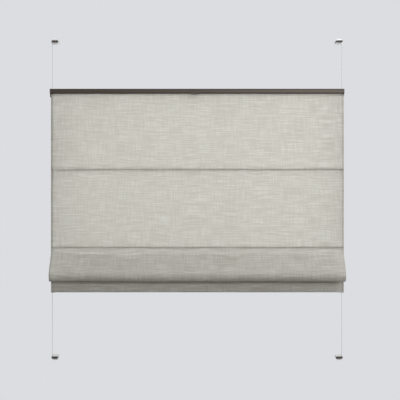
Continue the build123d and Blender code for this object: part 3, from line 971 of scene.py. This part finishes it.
# %% Bronze plastic
bronze_plastic, wire, place = solid_finish("bronze_moulded")
sparks = noisy(wire, place, 1700.0, 2.0)
cloudy = noisy(wire, place, 60.0, 2.0)
surface(
    wire,
    {
        "Base Color": mixed(wire, cloudy, (0.040, 0.029, 0.022, 1), (0.056, 0.043, 0.034, 1)),
        "Roughness": 0.44 + 0.14 * sparks,
        "Normal": bumped(wire, sparks, 0.04 * mm, 0.5),
    },
)
describe(bronze_plastic)

# %% [markdown]
# The clamp brackets are folded from sheet steel and coated with white powder, which melts into a
# film with a faint orange peel. White plastic parts behind the blind are smoother.

# %% White coat and white plastic
powder, wire, place = solid_finish("white_powder_coat")
peel = noisy(wire, place, 700.0, 2.0)
dust = noisy(wire, place, 45.0, 3.0)
surface(
    wire,
    {
        "Base Color": mixed(wire, dust, (0.83, 0.84, 0.85, 1), (0.88, 0.885, 0.89, 1)),
        "Roughness": 0.34 + 0.12 * dust,
        "Normal": bumped(wire, peel, 0.06 * mm, 0.4),
    },
)
white_plastic, wire, place = solid_finish("white_moulded")
flow = noisy(wire, stretched(wire, place, (20, 140, 140)), 1.0, 2.0)
surface(
    wire,
    {
        "Base Color": mixed(wire, flow, (0.74, 0.74, 0.72, 1), (0.80, 0.80, 0.785, 1)),
        "Roughness": 0.38 + 0.1 * flow,
        "Normal": bumped(wire, flow, 0.03 * mm, 0.3),
    },
)
describe(powder, white_plastic)

# %% [markdown]
# Screws, springs, ferrules and the weight rod are zinc-plated steel with a fine brushed grain, and
# the clamp pads are pale rubber with a dusty bloom.

# %% Steel and rubber
steel, wire, place = solid_finish("plated_steel")
brush = noisy(wire, stretched(wire, place, (300, 300, 2600)), 1.0, 2.0)
spots = noisy(wire, place, 220.0, 3.0)
surface(
    wire,
    {
        "Base Color": mixed(wire, spots, (0.52, 0.52, 0.53, 1), (0.64, 0.64, 0.65, 1)),
        "Metallic": 0.95,
        "Roughness": 0.24 + 0.16 * brush,
        "Normal": bumped(wire, brush, 0.03 * mm, 0.3),
    },
)
rubber, wire, place = solid_finish("pale_rubber")
bloom = noisy(wire, place, 160.0, 3.0)
surface(
    wire,
    {
        "Base Color": mixed(wire, bloom, (0.60, 0.60, 0.59, 1), (0.69, 0.69, 0.68, 1)),
        "Roughness": 0.72 + 0.15 * bloom,
        "Normal": bumped(wire, bloom, 0.05 * mm, 0.5),
    },
)
describe(steel, rubber)

# %% [markdown]
# The cord is a fine polyester braid. Two sets of slanting bands cross on it, which reads as a
# braid close up and as a soft grey line from where the camera stands.

# %% Cord braid
braid, wire, place = solid_finish("cord_braid")
bands = [
    wire.node(
        "ShaderNodeTexWave",
        {"wave_type": "BANDS", "bands_direction": "DIAGONAL"},
        {"Vector": stretched(wire, place, (side, side, 1)), "Scale": 190.0, "Distortion": 0.3},
        out=1,
    )
    for side in (1, -1)
]
strands = 0.5 * bands[0] + 0.5 * bands[1]
surface(
    wire,
    {
        "Base Color": mixed(wire, strands, (0.50, 0.50, 0.49, 1), (0.72, 0.72, 0.71, 1)),
        "Roughness": 0.7,
        "Normal": bumped(wire, strands, 0.08 * mm, 0.8),
    },
)
for cord in cords:
    cord.data.materials.append(braid)
describe(braid)

# %% [markdown]
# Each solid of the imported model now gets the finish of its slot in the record.

# %% Finishes on the solids
finishes = {
    "bronze_aluminium": bronze,
    "bronze_plastic": bronze_plastic,
    "white_steel": powder,
    "white_plastic": white_plastic,
    "steel": steel,
    "linen": linen,
    "cord": braid,
    "soft_pad": rubber,
}
for part in frame["record"]["subparts"]:
    node = frame["nodes"][part["node"]]
    node.data.materials.clear()
    node.data.materials.append(finishes[part["material_slot"]])

# %% [markdown]
# The light is plain, white and soft. The world is brighter above than below and brighter in front
# than behind, which shades the lower part of the fold as in the picture. What the camera sees
# behind the blind is a pale grey of the world's own: camera, glossy and transmission rays get that
# grey, and it adds no light to the cloth.

# %% World
PAPER = rgb(219, 221, 224)
LOWEST, HIGHEST, DIM, BRIGHT = -0.32, 0.62, 0.12, 0.68
world = bpy.data.worlds.new("studio")
bpy.context.scene.world = world
world.use_nodes = True
world.node_tree.nodes.clear()
wire = Wire(world.node_tree)
rays = [
    wire.node("ShaderNodeLightPath", None, None, out=f"Is {kind} Ray")
    for kind in ("Camera", "Glossy", "Transmission")
]
seen = wire.sum("MAXIMUM", wire.sum("MAXIMUM", rays[0], rays[1]), rays[2])
direction = wire.node("ShaderNodeTexCoord", None, None, out=0)
upward = wire.node("ShaderNodeSeparateXYZ", None, {0: direction}, out=2)
inward = wire.node("ShaderNodeSeparateXYZ", None, {0: direction}, out=1)
strength = (0.80 - 0.40 * inward) * wire.node(
    "ShaderNodeMapRange",
    {"interpolation_type": "SMOOTHSTEP"},
    {0: upward, 1: LOWEST, 2: HIGHEST, 3: DIM, 4: BRIGHT},
)
light = wire.node("ShaderNodeBackground", None, {"Color": (1.0, 1.0, 1.0, 1), "Strength": strength})
paper = wire.node("ShaderNodeBackground", None, {"Color": PAPER, "Strength": 1.0})
wire.node(
    "ShaderNodeOutputWorld",
    None,
    {"Surface": wire.node("ShaderNodeMixShader", None, {0: seen, 1: light, 2: paper})},
)
print("world", len(world.node_tree.nodes), "nodes")

# %% [markdown]
# Three soft lamps add to it. The key stands high on the right and draws the rail's shadow on the
# cloth. The fill is large and lights the front evenly. The third is a panel just behind the cloth,
# as daylight in a window is, and shines through the linen.

# %% Lamps


def soft_lamp(name, place, target, size, power):
    """A lamp of (width, height) at place that faces target and that no picture shows."""
    data = bpy.data.lights.new(name, "AREA")
    data.shape, data.size, data.size_y, data.energy = "RECTANGLE", size[0], size[1], power
    lamp = placed(name, data)
    lamp.location = place
    lamp.rotation_euler = (Vector(target) - Vector(place)).to_track_quat("-Z", "Y").to_euler()
    lamp.visible_camera = False
    print(name, "at", [round(v, 2) for v in place], "watts", power)


KEY_DISTANCE = 2.4
toward_key = Vector((9, -5.5, 10.4)).normalized()
soft_lamp("key", toward_key * KEY_DISTANCE, (0, 0, 0), (0.45, 0.45), 23.0)
soft_lamp("fill", (1.1, -3.6, 0.75), (0, 0, 0), (1.6, 0.7), 46.0)
soft_lamp("behind", (0, 0.055, 0.09), (0, 0, 0.09), (0.86, 0.54), 1.15)

# %% [markdown]
# A pale floor lies well below the blind. From the front it stays out of the picture. The camera
# sees it as a pale grey, but to all other rays it is darker, so that it throws little light up
# under the fold.

# %% Floor
SIDE, FRONT_EDGE, BACK_EDGE, LEVEL = 1.8, -2.2, 1.3, -0.95
corners = [(-SIDE, FRONT_EDGE), (SIDE, FRONT_EDGE), (SIDE, BACK_EDGE), (-SIDE, BACK_EDGE)]
floor_mesh = bpy.data.meshes.new("floor")
floor_mesh.from_pydata([(x, y, LEVEL) for x, y in corners], [], [(0, 1, 2, 3)])
floor = placed("floor", floor_mesh)
floor_finish, wire = new_finish("pale_floor")
looked_at = wire.node("ShaderNodeLightPath", None, None, out="Is Camera Ray")
surface(
    wire,
    {
        "Base Color": mixed(wire, looked_at, (0.22, 0.22, 0.22, 1), rgb(204, 205, 207)),
        "Roughness": 0.9,
        "Specular IOR Level": 0.1,
    },
)
floor_mesh.materials.append(floor_finish)
print("floor at", LEVEL)
